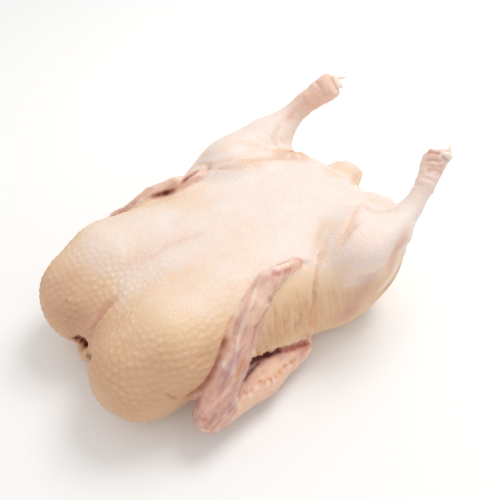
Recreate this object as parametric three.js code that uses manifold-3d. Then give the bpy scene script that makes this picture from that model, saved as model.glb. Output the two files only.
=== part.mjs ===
// A whole raw duck, plucked and drawn, lying on its back with the breast up.
// Millimetres, +Z up. +X runs from the neck to the tail, and the table is z = 0.
import * as THREE from "three";
import { SimplifyModifier } from "three/addons/modifiers/SimplifyModifier.js";
import { mergeVertices } from "three/addons/utils/BufferGeometryUtils.js";
import Module from "manifold-3d";

// Driving dimensions. A joint is [x, y, z, r]: a point, and the half thickness of the flesh round it.
// In a limb, y is the distance from the middle of the bird, and the side gives it its sign.
// A mass is an egg: its centre, its half sizes, and how square it is across and along the bird,
// where 2 is round.
const RIGHT = -1; // the bird's right side, at -y
const LEFT = 1; // the bird's left side, at +y
const UP = [0, 0, 1];

// Trunk and belly
const KEEL = 97; // height of the breast bone over the table
const FLANK = 85; // half the width over the flanks
const SPINE = 43; // height of the trunk's widest line
const FRONT = -134; // x of the trunk's front, in the cleft of the breast
const BACK = 120; // x of the trunk's back
const BELLY_END = 140; // x of the belly's back
const TRUNK = {
  centre: [(FRONT + BACK) / 2, 0, SPINE],
  half: [(BACK - FRONT) / 2, FLANK, KEEL - SPINE],
  across: 3.2,
  along: 2.3,
};
const BELLY = { centre: [BELLY_END - 88, 0, 48], half: [88, 62, 50], across: 3, along: 2.6 };
const BELLY_BLEND = 8;

// Breast: two lobes with a cleft between them
const RIGHT_LOBE = { joints: [[-112, 43, 41, 41], [-87, 46, 54, 42], [-55, 45, 53, 42]] };
const LEFT_LOBE = { joints: [[-114, 43, 43, 41.5], [-88, 46, 54, 42], [-55, 45, 53, 42]] };
const LOBE_BLEND = 16;
const CLEFT = { joints: [[-106, 2, 104, 8], [-132, 4, 76, 9], [-160, 7, 38, 12]] };
const CLEFT_EDGE = 10;

// Neck stump, with the opening that the neck was drawn out of
const NECK = { joints: [[-96, 4, 26, 22], [-134, 9, 22, 13]] };
const NECK_BLEND = 8;
const NECK_HOLE = { joints: [[-116, 11, 28, 6], [-154, 14, 32, 8]] };
const NECK_RIM = 4;

// Tail
const TAIL = { joints: [[96, 4, 36, 28], [127, 15, 52, 19], [146, 24, 61, 16]], squeeze: 1.15 };
const TAIL_BLEND = 10;

// Legs: the hip and thigh, the lower leg up to its cut end, and the folds of skin behind them
const HIP = { centre: [63, 60, 46], half: [53, 35, 45], across: 2.6, along: 2.4 };
const RIGHT_THIGH = { centre: [80, 65, 64], half: [38, 33, 42], across: 2.4, along: 2.4 };
const LEFT_THIGH = { centre: [53, 64, 65], half: [42, 34, 42], across: 2.4, along: 2.4 };
const HIP_BLEND = 14;
const SHANK_FLAT = [-0.69, -0.54, 0.47]; // the way in which a lower leg is thin
const RIGHT_DRUMSTICK = {
  joints: [[68, 75, 84, 28], [93, 79, 91, 20], [116, 79, 104, 11], [133, 76, 118, 9.5], [152, 66, 133, 14]],
  flat: SHANK_FLAT,
  squeeze: 1.45,
};
const LEFT_DRUMSTICK = {
  joints: [[68, 75, 84, 29], [93, 79, 93, 22], [115, 79, 106, 12], [132, 75, 120, 10], [153, 64, 137, 13.5]],
  flat: SHANK_FLAT,
  squeeze: 1.45,
};
const LEFT_KNEE = { joints: [[12, 75, 78, 16], [46, 75, 84, 27]] };
const HOCK_CUT = [0.41, -0.57, 0.71]; // the way that the cut end of a leg faces
const HOCK_LEFT = 5; // how far the leg goes on past the middle of the hock
const HOCK_EDGE = 3;
const RIGHT_WEB = { joints: [[66, 38, 68, 24], [112, 42, 85, 11], [116, 56, 88, 11]] };
const LEFT_WEB = { joints: [[62, 34, 66, 22], [107, 34, 80, 11]] };
const LEG_BLEND = 16;

// Wings: the upper arm under the flank, the forearm back along the table, the hand up over the flank
const UPPER_WING = { joints: [[-84, 62, 34, 20], [4, 84, 17, 11]] };
const HAND_FLAT = [0.1, 1, 0.75]; // outwards and up, the way in which a hand is thin
const RIGHT_FOREARM = {
  joints: [[4, 87, 19, 10], [-38, 95, 21, 12.5], [-91, 101, 28, 13]],
  flat: HAND_FLAT,
  squeeze: 1.1,
};
const RIGHT_HAND = {
  joints: [[-91, 101, 30, 13], [-58, 89, 61, 11], [-34, 76, 86, 9], [-18, 67.5, 95, 8], [16, 63, 92, 4]],
  flat: HAND_FLAT,
  squeeze: 1.4,
};
const LEFT_FOREARM = {
  joints: [[4, 87, 19, 10], [-40, 97, 30, 12.5], [-96, 106, 42, 12]],
  flat: HAND_FLAT,
  squeeze: 1.1,
};
const LEFT_HAND = {
  joints: [[-96, 106, 44, 12], [-60, 94, 70, 10], [-32, 79, 86, 9], [-14, 71, 94, 8], [18, 66, 94, 4]],
  flat: HAND_FLAT,
  squeeze: 1.4,
};
const WING_BLEND = 7;
const ARMPIT = { joints: [[-72, 90, 26, 11], [-2, 90, 16, 11]] };
const ARMPIT_EDGE = 5;
const JOINT_BLEND = 8; // between the lengths of one limb

// Meshing
const GRID = 2.5; // spacing of the grid that the flesh is meshed on
const LOW = [-168, -132, -14];
const HIGH = [180, 132, 160];
const SETTLING_PASSES = 3; // times that each vertex is moved onto the surface
const PROBE = 0.2; // half the distance over which a slope is measured
const FLATTEST_SLOPE = 0.3; // keeps a vertex in a sharp fold from being thrown
const VERTICES = 5750; // what the mesh is thinned to
const TABLE = 600; // size of the block that stands for the table
const FAR = 1e3; // further than any point of the bird

const SKIN = { color: 0xe8ccb0, roughness: 0.45, metalness: 0 };

const v = (x, y, z) => new THREE.Vector3(x, y, z);

// Every shape is a distance function of x, y and z: negative inside the flesh.
function smoothMin(a, b, k) {
  const h = Math.max(k - Math.abs(a - b), 0) / k;
  return Math.min(a, b) - (h * h * h * k) / 6;
}

const blend = (k, ...shapes) => (x, y, z) =>
  shapes.reduce((d, shape) => smoothMin(d, shape(x, y, z), k), FAR);

const carve = (k, shape, tool) => (x, y, z) => -smoothMin(-shape(x, y, z), tool(x, y, z), k);

// Everything beyond a plane through a point, on the side that the direction faces.
const beyond = (point, direction) => (x, y, z) =>
  -((x - point.x) * direction.x + (y - point.y) * direction.y + (z - point.z) * direction.z);

function mass({ centre, half, across, along }, side = LEFT) {
  const [cx, cy, cz] = centre;
  const [hx, hy, hz] = half;
  return (x, y, z) => {
    const dx = x - cx;
    const dy = y - side * cy;
    const dz = z - cz;
    const ring = (Math.abs(dy / hy) ** across + Math.abs(dz / hz) ** across) ** (1 / across);
    const q = (ring ** along + Math.abs(dx / hx) ** along) ** (1 / along);
    return q > 0 ? Math.hypot(dx, dy, dz) * (1 - 1 / q) : -hz;
  };
}

// One length of a limb: a cone with round ends, made `squeeze` times thinner along `flat`.
function roundCone(a, b, ra, rb, flat, squeeze) {
  const axis = b.clone().sub(a);
  const length = axis.length();
  axis.divideScalar(length);
  const n = flat.clone().addScaledVector(axis, -flat.dot(axis)).normalize();
  const sin = (ra - rb) / length;
  const cos = Math.sqrt(1 - sin * sin);
  return (x, y, z) => {
    let dx = x - a.x;
    let dy = y - a.y;
    let dz = z - a.z;
    const thin = (dx * n.x + dy * n.y + dz * n.z) * (squeeze - 1);
    dx += thin * n.x;
    dy += thin * n.y;
    dz += thin * n.z;
    const t = dx * axis.x + dy * axis.y + dz * axis.z;
    const r = Math.sqrt(Math.max(dx * dx + dy * dy + dz * dz - t * t, 0));
    const k = cos * t - sin * r;
    if (k < 0) return Math.hypot(r, t) - ra;
    if (k > cos * length) return Math.hypot(r, t - length) - rb;
    return cos * r + sin * t - ra;
  };
}

// A limb through its joints on one side of the bird, with the same flat side all along.
function limb({ joints, flat = UP, squeeze = 1 }, side = LEFT) {
  const points = joints.map(([x, y, z]) => v(x, side * y, z));
  const thin = v(flat[0], side * flat[1], flat[2]);
  const lengths = joints.slice(1).map(([, , , r], i) =>
    roundCone(points[i], points[i + 1], joints[i][3], r, thin, squeeze));
  return blend(JOINT_BLEND, ...lengths);
}

function body() {
  const trunk = blend(BELLY_BLEND, mass(TRUNK), mass(BELLY));
  const breast = blend(LOBE_BLEND, trunk, limb(RIGHT_LOBE, RIGHT), limb(LEFT_LOBE, LEFT));
  const cleft = carve(CLEFT_EDGE, breast, limb(CLEFT));
  const necked = carve(NECK_RIM, blend(NECK_BLEND, cleft, limb(NECK)), limb(NECK_HOLE));
  return blend(TAIL_BLEND, necked, limb(TAIL));
}

// The lower leg, cut off flat at the hock.
function drumstick(leg, side) {
  const [x, y, z] = leg.joints.at(-1);
  const facing = v(HOCK_CUT[0], side * HOCK_CUT[1], HOCK_CUT[2]);
  const cut = v(x, side * y, z).addScaledVector(facing, HOCK_LEFT);
  return carve(HOCK_EDGE, limb(leg, side), beyond(cut, facing));
}

function withLegs(shape) {
  const hips = blend(HIP_BLEND, shape, mass(HIP, RIGHT), mass(HIP, LEFT),
    mass(RIGHT_THIGH, RIGHT), mass(LEFT_THIGH, LEFT));
  return blend(LEG_BLEND, hips, limb(RIGHT_WEB, RIGHT), limb(LEFT_WEB, LEFT), limb(LEFT_KNEE, LEFT),
    drumstick(RIGHT_DRUMSTICK, RIGHT), drumstick(LEFT_DRUMSTICK, LEFT));
}

function withWings(shape) {
  const hollowed = carve(ARMPIT_EDGE, carve(ARMPIT_EDGE, shape, limb(ARMPIT, RIGHT)), limb(ARMPIT, LEFT));
  return blend(WING_BLEND, hollowed,
    limb(UPPER_WING, RIGHT), limb(RIGHT_FOREARM, RIGHT), limb(RIGHT_HAND, RIGHT),
    limb(UPPER_WING, LEFT), limb(LEFT_FOREARM, LEFT), limb(LEFT_HAND, LEFT));
}

// The shape's distances at the points of a grid, and the number of each point.
function sample(shape) {
  const [nx, ny, nz] = HIGH.map((high, i) => Math.ceil((high - LOW[i]) / GRID) + 1);
  const at = (i, j, k) => (k * ny + j) * nx + i;
  const distance = new Float32Array(nx * ny * nz);
  for (let k = 0; k < nz; k++)
    for (let j = 0; j < ny; j++)
      for (let i = 0; i < nx; i++)
        distance[at(i, j, k)] = shape(LOW[0] + i * GRID, LOW[1] + j * GRID, LOW[2] + k * GRID);
  return { size: [nx, ny, nz], at, distance };
}

// The middle of the places where the surface crosses the twelve edges of one grid cell.
function crossing({ at, distance }, i, j, k) {
  const sum = v(0, 0, 0);
  let count = 0;
  for (let axis = 0; axis < 3; axis++)
    for (let edge = 0; edge < 4; edge++) {
      const start = [i, j, k];
      start[(axis + 1) % 3] += edge & 1;
      start[(axis + 2) % 3] += edge >> 1;
      const end = [...start];
      end[axis] += 1;
      const from = distance[at(...start)];
      const to = distance[at(...end)];
      if (from < 0 === to < 0) continue;
      const point = v(...start);
      point.setComponent(axis, start[axis] + from / (from - to));
      sum.add(point);
      count++;
    }
  return sum.divideScalar(count).multiplyScalar(GRID).add(v(...LOW));
}

// Surface nets: one vertex in each cell that the surface crosses, one quad round each crossed edge.
function netOf(grid) {
  const { size: [nx, ny, nz], at, distance } = grid;
  const vertices = new Map();
  const points = [];
  const index = [];
  const vertexOf = (i, j, k) => {
    const cell = at(i, j, k);
    if (!vertices.has(cell)) {
      vertices.set(cell, points.length);
      points.push(crossing(grid, i, j, k));
    }
    return vertices.get(cell);
  };
  const addQuad = (start, axis, outwards) => {
    const corner = (u, w) => {
      const cell = [...start];
      cell[(axis + 1) % 3] -= u;
      cell[(axis + 2) % 3] -= w;
      return vertexOf(...cell);
    };
    const quad = [corner(1, 1), corner(0, 1), corner(0, 0), corner(1, 0)];
    if (!outwards) quad.reverse();
    index.push(quad[0], quad[1], quad[2], quad[0], quad[2], quad[3]);
  };
  for (let k = 1; k < nz - 1; k++)
    for (let j = 1; j < ny - 1; j++)
      for (let i = 1; i < nx - 1; i++)
        for (let axis = 0; axis < 3; axis++) {
          const end = [i, j, k];
          end[axis] += 1;
          const inside = distance[at(i, j, k)] < 0;
          if (inside !== distance[at(...end)] < 0) addQuad([i, j, k], axis, inside);
        }
  return { points, index };
}

// Moves a vertex along the shape's slope, onto the surface.
function settle(point, shape) {
  const { x, y, z } = point;
  const slope = v(
    shape(x + PROBE, y, z) - shape(x - PROBE, y, z),
    shape(x, y + PROBE, z) - shape(x, y - PROBE, z),
    shape(x, y, z + PROBE) - shape(x, y, z - PROBE),
  ).divideScalar(2 * PROBE);
  const off = THREE.MathUtils.clamp(shape(x, y, z), -GRID / 2, GRID / 2);
  point.addScaledVector(slope, -off / Math.max(slope.lengthSq(), FLATTEST_SLOPE));
}

function meshOf(shape) {
  const { points, index } = netOf(sample(shape));
  for (let pass = 0; pass < SETTLING_PASSES; pass++)
    for (const point of points) settle(point, shape);
  return new THREE.BufferGeometry().setFromPoints(points).setIndex(index);
}

const wasm = await Module();
wasm.setup();

const solidOf = (geometry) => new wasm.Manifold(new wasm.Mesh({
  numProp: 3,
  vertProperties: new Float32Array(geometry.attributes.position.array),
  triVerts: new Uint32Array(geometry.index.array),
}));

function geometryOf(solid) {
  const mesh = solid.getMesh();
  return new THREE.BufferGeometry()
    .setAttribute("position", new THREE.BufferAttribute(mesh.vertProperties, 3))
    .setIndex(new THREE.BufferAttribute(mesh.triVerts, 1));
}

// The space under the table's top, which the bird's back is pressed flat against.
function underTable() {
  const block = new THREE.BoxGeometry(TABLE, TABLE, TABLE).translate(0, 0, -TABLE / 2);
  block.deleteAttribute("normal");
  block.deleteAttribute("uv");
  return mergeVertices(block);
}

// Puts the origin on the table under the middle of the bird.
function centred(geometry) {
  geometry.computeBoundingBox();
  const middle = geometry.boundingBox.getCenter(v(0, 0, 0));
  return geometry.translate(-middle.x, -middle.y, 0);
}

const fine = meshOf(withWings(withLegs(body())));
const spare = fine.attributes.position.count - VERTICES;
const thinned = await new SimplifyModifier().modify(fine, spare);
const resting = solidOf(thinned).subtract(solidOf(underTable()));

const duck = new THREE.Mesh(centred(geometryOf(resting)), new THREE.MeshStandardMaterial(SKIN));
duck.name = "duck";
const bird = new THREE.Group();
bird.add(duck);

export default bird;
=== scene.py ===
# %% [markdown]
# # A whole raw duck
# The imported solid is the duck's true outer form: trunk, lobes of the breast, wings, legs and tail. What
# it lacks is everything finer than a finger: folds of skin, pimples where the feathers were, the pits of
# the wing's quills, and the colour of fat, skin and flesh under it. The plan is a sculptor's: take a copy
# of the solid, give it a fine even mesh, press folds into it along lines, tint the skin along the same
# lines, and raise a small mound for every pimple. Lines are drawn on the photo's picture plane and thrown
# onto the skin through the camera, so that each fold sits on what carries it. Sizes are in millimetres
# until the mesh is shown.

# %% The frame
import itertools
import math

import bmesh
import bpy
import numpy as np
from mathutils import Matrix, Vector, noise
from mathutils.bvhtree import BVHTree
from mathutils.kdtree import KDTree


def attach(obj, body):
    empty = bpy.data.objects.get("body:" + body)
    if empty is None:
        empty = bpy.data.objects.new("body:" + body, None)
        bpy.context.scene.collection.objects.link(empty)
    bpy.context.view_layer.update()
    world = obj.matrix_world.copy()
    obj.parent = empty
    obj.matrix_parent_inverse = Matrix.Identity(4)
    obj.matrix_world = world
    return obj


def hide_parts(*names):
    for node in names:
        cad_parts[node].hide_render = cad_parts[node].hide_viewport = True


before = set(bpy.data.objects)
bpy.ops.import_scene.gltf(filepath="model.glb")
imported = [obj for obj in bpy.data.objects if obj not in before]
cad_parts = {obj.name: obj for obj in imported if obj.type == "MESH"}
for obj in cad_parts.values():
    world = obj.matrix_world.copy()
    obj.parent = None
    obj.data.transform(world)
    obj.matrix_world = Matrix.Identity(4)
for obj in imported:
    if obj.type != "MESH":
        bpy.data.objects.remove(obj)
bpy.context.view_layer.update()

MM = 0.001

# %% [markdown]
# ## The camera
# A long lens flattens, a short one makes near things large. The near wing of this duck is drawn clearly
# larger than the far one, so the camera is close, half a metre away, with a lens of about 41 mm. It looks
# down on the breast by 44.5 degrees, over the duck's right side, with the neck towards it.

# %% The camera
PHOTO = 500
FOCAL = 575  # the lens's focal length, in the photo's pixels
SENSOR = 36
LOOKING_DOWN = 44.5
TURNED = 35.7
CAMERA_PLACE = Vector((-195.76, -291.01, 403.03))


def new_object(name, data):
    """An object that shows some data, put into the scene."""
    made = bpy.data.objects.new(name, data)
    bpy.context.scene.collection.objects.link(made)
    return made


camera_data = bpy.data.cameras.new("camera")
camera_data.sensor_width = SENSOR
camera_data.lens = SENSOR * FOCAL / PHOTO
camera = new_object("camera", camera_data)
camera.location = CAMERA_PLACE * MM
camera.rotation_euler = (math.radians(90 - LOOKING_DOWN), 0, math.radians(-TURNED))
bpy.context.scene.camera = camera
bpy.context.view_layer.update()
CAMERA_TURN = camera.matrix_world.to_3x3()


def ray(x, y):
    """The way that a pixel of the photo looks."""
    return (CAMERA_TURN @ Vector(((x - PHOTO / 2) / FOCAL, (PHOTO / 2 - y) / FOCAL, -1))).normalized()


print("the lens is", round(camera_data.lens, 1), "mm")

# %% [markdown]
# ## Floor and light
# Raw skin over fat is pale and a little wet, and soft light shows its form without hard glints. One large
# lamp stands over the far side and behind, so that the breast is bright and the near side falls into a
# warm shade, and a wide weak one in front keeps that shade open.

# %% Floor and light
FLOOR_HALF = 3.0
STUDIO_TONE = (1, 0.99, 0.975, 1)
STUDIO_STRENGTH = 0.75
PAPER_LOOK = {"Base Color": (0.94, 0.94, 0.94, 1), "Roughness": 0.9}


def new_material(name, look):
    """A material whose shader has some of its inputs set."""
    made = bpy.data.materials.new(name)
    made.use_nodes = True
    for key, value in look.items():
        made.node_tree.nodes["Principled BSDF"].inputs[key].default_value = value
    return made


def into_mesh(form, mesh):
    """Writes a form into a mesh and lets the form go."""
    form.to_mesh(mesh)
    form.free()
    return mesh


world = bpy.data.worlds.new("studio")
world.use_nodes = True
studio = world.node_tree.nodes["Background"]
studio.inputs["Color"].default_value = STUDIO_TONE
studio.inputs["Strength"].default_value = STUDIO_STRENGTH
bpy.context.scene.world = world
bpy.context.scene.view_settings.view_transform = "Standard"

floor_form = bmesh.new()
bmesh.ops.create_grid(floor_form, x_segments=1, y_segments=1, size=FLOOR_HALF)
floor_mesh = into_mesh(floor_form, bpy.data.meshes.new("floor"))
floor = new_object("floor", floor_mesh)
floor_mesh.materials.append(new_material("pale_paper", PAPER_LOOK))
print("the floor is", 2 * FLOOR_HALF, "m wide")

# %% Lamps
LAMPS_AIM = Vector((0, 0, 0.05))
LAMPS = [  # name, place, size, power, colour
    ("high_lamp", (0.65, 0.1, 1.2), 0.6, 7.7, (1, 0.995, 0.985)),
    ("front_lamp", (-1.2, -0.6, 0.9), 1.4, 1, (1, 0.98, 0.96)),
]


def lamp(name, place, size, power, colour):
    """A square lamp that faces the duck."""
    data = bpy.data.lights.new(name, "AREA")
    data.size = size
    data.energy = power
    data.color = colour
    made = new_object(name, data)
    made.location = place
    made.rotation_euler = (LAMPS_AIM - Vector(place)).to_track_quat("-Z", "Y").to_euler()


for settings in LAMPS:
    lamp(*settings)
print(len(LAMPS), "lamps")

# %% [markdown]
# ## A fine mesh for the skin
# The solid has about eleven thousand faces, few enough to show as facets. A subdivision surface rounds
# them, and a voxel remesh then gives an even net of small squares, which folds can be pressed into
# anywhere. Wings, neck and cut legs carry the smallest forms, so only their squares are halved once more:
# a net that fine all over would be four times as heavy and show nothing extra on the smooth breast.

# %% The bones of the limbs
CAD_SHIFT = (4.06, 2.06, 0)  # the solid was moved by this much to stand on its origin


def joints(side, *places):
    """The centre line of a limb, from the solid's own measures."""
    return np.array([(x, side * y, z) for x, y, z in places]) - CAD_SHIFT


RIGHT, LEFT = -1, 1
RIGHT_HAND = joints(RIGHT, (-91, 101, 30), (-58, 89, 61), (-34, 76, 86), (-18, 67.5, 95), (16, 63, 92))
LEFT_HAND = joints(LEFT, (-96, 101, 40), (-60, 88.5, 65.5), (-32, 79, 86), (-14, 71, 94), (18, 66, 94))
RIGHT_FOREARM = joints(RIGHT, (4, 87, 19), (-38, 95, 21), (-91, 101, 28))
LEFT_FOREARM = joints(LEFT, (4, 87, 19), (-40, 97, 30), (-96, 101, 38))
RIGHT_HOCK = joints(RIGHT, (140, 72, 123), (157, 64, 138))
LEFT_HOCK = joints(LEFT, (140, 72, 125), (159, 62, 141))
TAIL = joints(LEFT, (112, 10, 44), (127, 15, 52), (150, 25, 63))
RIGHT_FLANK = joints(RIGHT, (-35, 95, 45), (10, 90, 50), (45, 85, 55))
LEFT_FLANK = joints(LEFT, (-35, 95, 45), (10, 90, 50), (45, 85, 55))
RIGHT_LEG = joints(RIGHT, (104, 78, 98), (133, 76, 118), (152, 66, 133))
LEFT_LEG = joints(LEFT, (104, 78, 98), (132, 75, 120), (153, 64, 137))
NECK = joints(LEFT, (-128, 8, 26), (-150, 11, 30))
FINE_ALONG = [
    (RIGHT_HAND, 20), (RIGHT_FOREARM, 26), (LEFT_HAND, 14), (LEFT_FOREARM, 15),
    (RIGHT_HOCK, 16), (LEFT_HOCK, 16), (NECK, 20), (RIGHT_FLANK, 20), (LEFT_FLANK, 12),
]
BARE_ALONG = [
    (RIGHT_HAND, 12), (RIGHT_FOREARM, 14), (LEFT_HAND, 12), (LEFT_FOREARM, 14),
    (RIGHT_LEG, 18), (LEFT_LEG, 18),
]
print(len(FINE_ALONG), "limbs get a finer net, and", len(BARE_ALONG), "have no pimples")

# %% Distances, steps and modifiers
FAR_AWAY = 1e9
TINY = 1e-9


def nearest_on(line, places):
    """Each place's distance from a line, how far along and on which piece, and the way off the line."""
    best = np.full(len(places), FAR_AWAY)
    along = np.zeros(len(places))
    piece = np.zeros(len(places), int)
    way = np.zeros(places.shape)
    lengths = np.linalg.norm(np.diff(line, axis=0), axis=1) + TINY
    starts = np.concatenate([[0], np.cumsum(lengths)])
    for number, (a, b) in enumerate(zip(line[:-1], line[1:])):
        ab = b - a
        t = np.clip((places - a) @ ab / max(ab @ ab, TINY), 0, 1)
        off = places - a - t[:, None] * ab
        distance = np.linalg.norm(off, axis=1)
        closer = distance < best
        best[closer] = distance[closer]
        along[closer] = (starts[number] + t[closer] * lengths[number]) / starts[-1]
        piece[closer] = number
        way[closer] = off[closer]
    return best, along, piece, way


def distance_to(line, places):
    """How far each place is from a line of points, and how far along the line its nearest point is."""
    return nearest_on(line, places)[:2]


def smooth(x, low, high):
    """0 below low, 1 above high, and a soft step between."""
    t = np.clip((x - low) / (high - low), 0, 1)
    return t * t * (3 - 2 * t)


def with_modifier(mesh, kind, **settings):
    """The mesh after one modifier."""
    holder = new_object("holder", mesh)
    modifier = holder.modifiers.new(kind, kind)
    for name, value in settings.items():
        setattr(modifier, name, value)
    made = bpy.data.meshes.new_from_object(holder.evaluated_get(bpy.context.evaluated_depsgraph_get()))
    bpy.data.objects.remove(holder)
    return made


def calm(form, times):
    """Moves each point of a form halfway to the middle of its neighbours."""
    axes = {"use_axis_x": True, "use_axis_y": True, "use_axis_z": True}
    for _ in range(times):
        bmesh.ops.smooth_vert(form, verts=form.verts, factor=0.5, **axes)


hand_length = np.linalg.norm(np.diff(RIGHT_HAND, axis=0), axis=1).sum()
print("the right hand is", round(float(hand_length)), "mm long")

# %% Where the pimples are
FEW = 0.2  # the share of the pimples towards the tail
FEW_ON_TOP = 0.12
TO_THE_NECK = (5, 65)  # they grow from few to full over these places along the duck
TOP = (98, 84)  # and from few to full over these heights, downwards
AT_TABLE = (2, 8)
BARE_EDGE = 12


def pimple_share(places):
    """How strong the pimples are: most on the front of the breast, few on top, none on wings and shanks."""
    share = FEW + (1 - FEW) * smooth(-places[:, 0], *TO_THE_NECK)
    share *= FEW_ON_TOP + (1 - FEW_ON_TOP) * smooth(places[:, 2], *TOP)
    for line, reach in BARE_ALONG:
        share *= smooth(distance_to(line, places)[0], reach, reach + BARE_EDGE)
    return share * smooth(places[:, 2], *AT_TABLE)


print("pimples on the keel:", np.round(pimple_share(np.array([(-100.0, 0, 80), (0, 0, 90)])), 2))

# %% A fine mesh for the skin
NET = 2.6
SAME_PLACE = 0.01
ROUNDING = 2
CLEARLY_PIMPLED = 0.3
CALM_BEFORE, CALM_AFTER = 4, 2


def halve_near(form, lines):
    """Halves the edges of the faces near some lines and wherever the skin has clear pimples."""
    centres = np.array([face.calc_center_median() for face in form.faces]) / MM
    wanted = pimple_share(centres) > CLEARLY_PIMPLED
    for line, reach in lines:
        wanted |= distance_to(line, centres)[0] < reach
    faces = [face for face, near in zip(form.faces, wanted) if near]
    edges = list({edge for face in faces for edge in face.edges})
    bmesh.ops.subdivide_edges(form, edges=edges, cuts=1, use_grid_fill=True)
    bmesh.ops.triangulate(form, faces=[face for face in form.faces if len(face.verts) > 4])


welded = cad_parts["duck"].data.copy()
form = bmesh.new()
form.from_mesh(welded)
bmesh.ops.remove_doubles(form, verts=form.verts, dist=SAME_PLACE * MM)
rounded = with_modifier(into_mesh(form, welded), "SUBSURF", levels=ROUNDING, render_levels=ROUNDING)
netted = with_modifier(rounded, "REMESH", mode="VOXEL", voxel_size=NET * MM)
form = bmesh.new()
form.from_mesh(netted)
calm(form, CALM_BEFORE)
halve_near(form, FINE_ALONG)
calm(form, CALM_AFTER)
skin_mesh = into_mesh(form, bpy.data.meshes.new("duck_skin"))
skin_mesh.calc_loop_triangles()
print("the skin has", len(skin_mesh.loop_triangles), "triangles")

# %% [markdown]
# ## Hands for the sculptor
# A line drawn on the picture is thrown onto the skin. Every point of the mesh near that line then knows
# how far it is from it, and moves in or out by a bell curve of that distance. The same distance tints the
# skin.

# %% Points, tints and surface
TINTS = ("cream", "tan", "peach", "blush", "mauve", "pale", "red", "flesh", "pimples", "bare")
count = len(skin_mesh.vertices)
points = np.zeros(count * 3)
skin_mesh.vertices.foreach_get("co", points)
points = points.reshape(-1, 3) / MM
tint = {name: np.zeros(count) for name in TINTS}
surface = {}


def measure_surface():
    """Takes the normals and the search tree of the skin as it now is."""
    skin_mesh.vertices.foreach_set("co", (points * MM).ravel())
    skin_mesh.update()
    normals = np.zeros(count * 3)
    skin_mesh.vertex_normals.foreach_get("vector", normals)
    surface["normals"] = normals.reshape(-1, 3)
    faces = [tuple(face.vertices) for face in skin_mesh.polygons]
    surface["tree"] = BVHTree.FromPolygons([tuple(p) for p in points], faces)
    surface["lift"] = np.zeros(count)


measure_surface()
print(count, "points carry", len(TINTS), "tints")

# %% Lines thrown onto the skin
TRIES = 60
DUCK_MIDDLE = (240, 255)  # a pixel well inside the outline
TRY_STEP = 0.005
TRACE_STEP = 3.5


def seen(x, y):
    """The place on the skin that a pixel of the photo shows, or the nearest one inside the outline."""
    for step in range(TRIES):
        inwards = [(middle - at) * step * TRY_STEP for at, middle in zip((x, y), DUCK_MIDDLE)]
        way = ray(x + inwards[0], y + inwards[1])
        hit, normal, _, _ = surface["tree"].ray_cast(CAMERA_PLACE, way)
        if hit is not None:
            return np.array(hit), np.array(normal)
    raise ValueError(f"the pixel {x}, {y} looks past the duck")


def smooth_path(corners, step):
    """Points on a smooth curve through some corners, about a step apart."""
    corners = [np.array(c, float) for c in corners]
    if len(corners) == 2:
        cuts = max(2, int(np.linalg.norm(corners[1] - corners[0]) / step) + 1)
        return [corners[0] + (corners[1] - corners[0]) * t for t in np.linspace(0, 1, cuts)]
    padded = [2 * corners[0] - corners[1], *corners, 2 * corners[-1] - corners[-2]]
    path = [corners[0]]
    for a, b, c, d in zip(padded, padded[1:], padded[2:], padded[3:]):
        cuts = max(1, int(np.linalg.norm(c - b) / step))
        for t in np.linspace(0, 1, cuts + 1)[1:]:
            path.append(0.5 * (2 * b + (c - a) * t + (2 * a - 5 * b + 4 * c - d) * t**2
                               + (3 * b - a - 3 * c + d) * t**3))
    return path


def trace(corners, step=TRACE_STEP):
    """A line of the picture, thrown onto the skin."""
    found = [seen(*p) for p in smooth_path(corners, step)]
    return np.array([place for place, _ in found]), np.array([normal for _, normal in found])


def settle(line):
    """A line in space, moved onto the nearest skin."""
    found = [surface["tree"].find_nearest(Vector(p)) for p in line]
    return np.array([f[0] for f in found]), np.array([f[1] for f in found])


def mirrored(traced):
    """The same line on the other side of the bird."""
    flipped = (traced[0] + CAD_SHIFT) * (1, -1, 1) - CAD_SHIFT
    return settle(flipped)


print("the middle of the picture shows the place", np.round(seen(*DUCK_MIDDLE)[0], 1))

# %% Brushes
REACH = 3  # a brush works this many widths round its line
TINT_SPREAD = 1.5  # and its tint is this much wider than its relief
SAME_SIDE = 0.1  # a line works only on skin that faces nearly as it does
ALMOST_BEHIND = -0.1
WAVER_STEPS = 64
FOLD_LIP = 0.6  # where the upper side of a fold stands highest, in widths
FOLD_VALLEY = 0.5
FOLD_DEPTH = 0.8
FOLD_SHADE = 0.35


def around(traced, reach):
    """The points of the skin near a line: their numbers, distance, place along it and side of it."""
    line, facing = traced
    box = ((points > line.min(0) - reach) & (points < line.max(0) + reach)).all(1)
    near = np.flatnonzero(box)
    normals = surface["normals"][near]
    distance, along, piece, way = nearest_on(line, points[near])
    side = np.sign((np.cross(way, np.diff(line, axis=0)[piece]) * normals).sum(1))
    agrees = (normals * (facing[piece] + facing[piece + 1])).sum(1) / 2
    keep = (distance < reach) & (agrees > SAME_SIDE)
    return near[keep], distance[keep], along[keep], side[keep]


def tinge(name, amount, near=slice(None)):
    """Tints points by an amount, where they don't have more of that tint already."""
    tint[name][near] = np.maximum(tint[name][near], amount)


def fade_ends(along, taper):
    """1 in the middle of a line, 0 at both ends."""
    if taper <= 0:
        return np.ones(len(along))
    return smooth(np.minimum(along, 1 - along), 0, taper)


def waver(traced, along, amount, waves=9):
    """A little unevenness along a line."""
    seed = float(traced[0][0].sum())
    shares = np.linspace(0, 1, WAVER_STEPS)
    table = np.array([noise.noise(Vector((seed, t * waves, 0))) for t in shares])
    return 1 + amount * np.interp(along, shares, table)


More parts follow.
